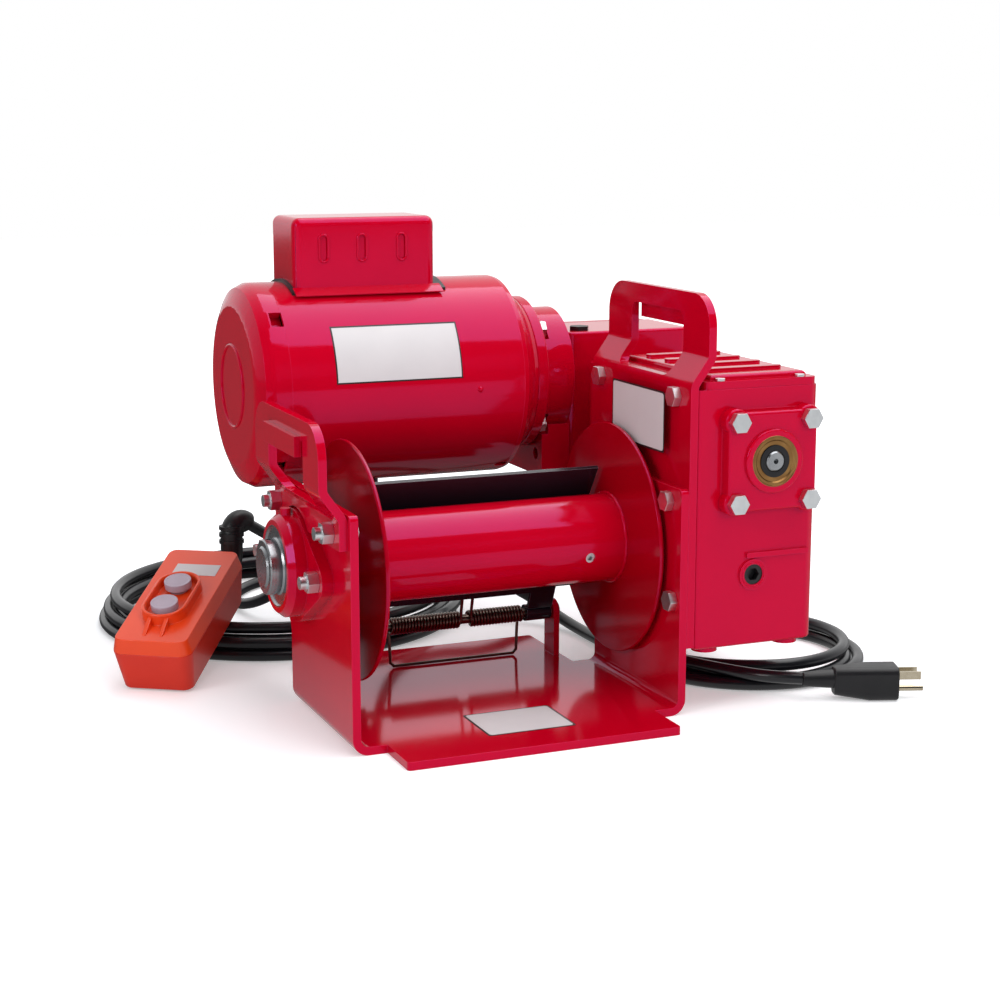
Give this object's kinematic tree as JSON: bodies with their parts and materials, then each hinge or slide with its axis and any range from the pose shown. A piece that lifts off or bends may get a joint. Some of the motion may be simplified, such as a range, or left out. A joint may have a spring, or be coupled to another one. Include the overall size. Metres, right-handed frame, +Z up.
{
  "type": "electric winch",
  "caption": "Electric cable winch with a bent steel frame, bare rope drum, two-stage worm gearbox, motor, carrying handles, push-button pendant and mains cord",
  "frame": {"origin": "on the underside of the base plate, straight below the middle of the drum axis", "axes": "+X along the drum axis to the gearbox side, +Y to the motor side at the back, +Z up"},
  "size_m": [0.6114, 0.626, 0.371],
  "materials": {
    "red_paint": "gloss",
    "drum_flange_paint": "gloss",
    "black_paint": "satin",
    "zinc_steel": "satin",
    "machined_steel": "satin",
    "bronze": "satin",
    "motor_iron": "matte",
    "aluminium_can": "satin",
    "plated_brass": "gloss",
    "black_rubber": "matte",
    "cord_jacket": "satin",
    "black_plastic": "matte",
    "orange_plastic": "satin",
    "grey_plastic": "satin"
  },
  "bodies": {
    "base": {"u_frame": "red_paint", "left_handle": "red_paint", "right_handle": "red_paint", "handle_bolts": "zinc_steel", "gearbox_bolts": "zinc_steel", "bearing_housing": "red_paint", "bearing_insert": "machined_steel", "bearing_bolts": "zinc_steel", "gear_housing": "red_paint", "gear_top_cover": "red_paint", "worm_end_cover": "red_paint", "gear_cover_bolts": "zinc_steel", "worm_seal": "bronze", "worm_bearings": "machined_steel", "wheel_bearings": "machined_steel", "gearbox_plugs": "zinc_steel", "primary_housing": "red_paint", "primary_cover": "red_paint", "primary_bearings": "machined_steel", "motor_adapter": "red_paint", "motor_shell": "red_paint", "rear_end_bell": "red_paint", "front_end_bell": "red_paint", "stator": "motor_iron", "motor_bearings": "machined_steel", "motor_bolts": "zinc_steel", "capacitor_cover": "red_paint", "capacitor_pad": "black_rubber", "motor_capacitor": "aluminium_can", "terminal_box": "red_paint", "cord_glands": "black_plastic", "pivot_rod": "zinc_steel", "torsion_springs": "zinc_steel", "pendant_shell": "orange_plastic", "pendant_cover": "orange_plastic", "contact_block": "black_plastic", "pendant_boot": "black_rubber", "control_lead": "cord_jacket", "control_tail": "cord_jacket", "control_coil": "cord_jacket", "power_lead": "cord_jacket", "power_coil": "cord_jacket", "plug_body": "black_rubber", "plug_prongs": "plated_brass"},
    "drum": {"drum_barrel": "red_paint", "left_flange": "drum_flange_paint", "right_flange": "drum_flange_paint", "rope_anchor_screw": "zinc_steel", "drum_shaft": "machined_steel", "wheel_key": "machined_steel", "worm_wheel": "bronze", "locking_collar": "zinc_steel"},
    "cross_gear": {"cross_shaft": "machined_steel", "first_wheel": "bronze"},
    "rotor": {"motor_shaft": "machined_steel", "rotor_core": "motor_iron", "cooling_fan": "black_plastic"},
    "press": {"pressure_plate": "black_paint"},
    "raise": {"raise_button": "grey_plastic"},
    "lower": {"lower_button": "grey_plastic"}
  },
  "joints": [
    {"name": "drum_spin", "type": "hinge", "parent": "base", "child": "drum", "pos_m": [0, 0, 0.1185], "axis": [1, 0, 0], "continuous": true},
    {"name": "cross_spin", "type": "hinge", "parent": "base", "child": "cross_gear", "pos_m": [0.199, 0, 0.1947], "axis": [0, 1, 0], "continuous": true},
    {"name": "rotor_spin", "type": "hinge", "parent": "base", "child": "rotor", "pos_m": [0, 0.139, 0.2367], "axis": [1, 0, 0], "continuous": true},
    {"name": "pressure_swing", "type": "hinge", "parent": "base", "child": "press", "pos_m": [0, 0.07, 0.043], "axis": [-1, 0, 0], "range_deg": [0, 18], "stiffness_Nm_per_rad": 6, "springref_deg": -12.03},
    {"name": "raise_press", "type": "slide", "parent": "base", "child": "raise", "axis": [0.1592, 0.2452, -0.9563], "range_m": [0, 0.003], "stiffness_N_per_m": 400},
    {"name": "lower_press", "type": "slide", "parent": "base", "child": "lower", "axis": [0.1592, 0.2452, -0.9563], "range_m": [0, 0.003], "stiffness_N_per_m": 400}
  ],
  "couplings": [
    {"joint": "cross_spin", "follows": "rotor_spin", "ratio": 0.1},
    {"joint": "drum_spin", "follows": "rotor_spin", "ratio": 0.01}
  ]
}
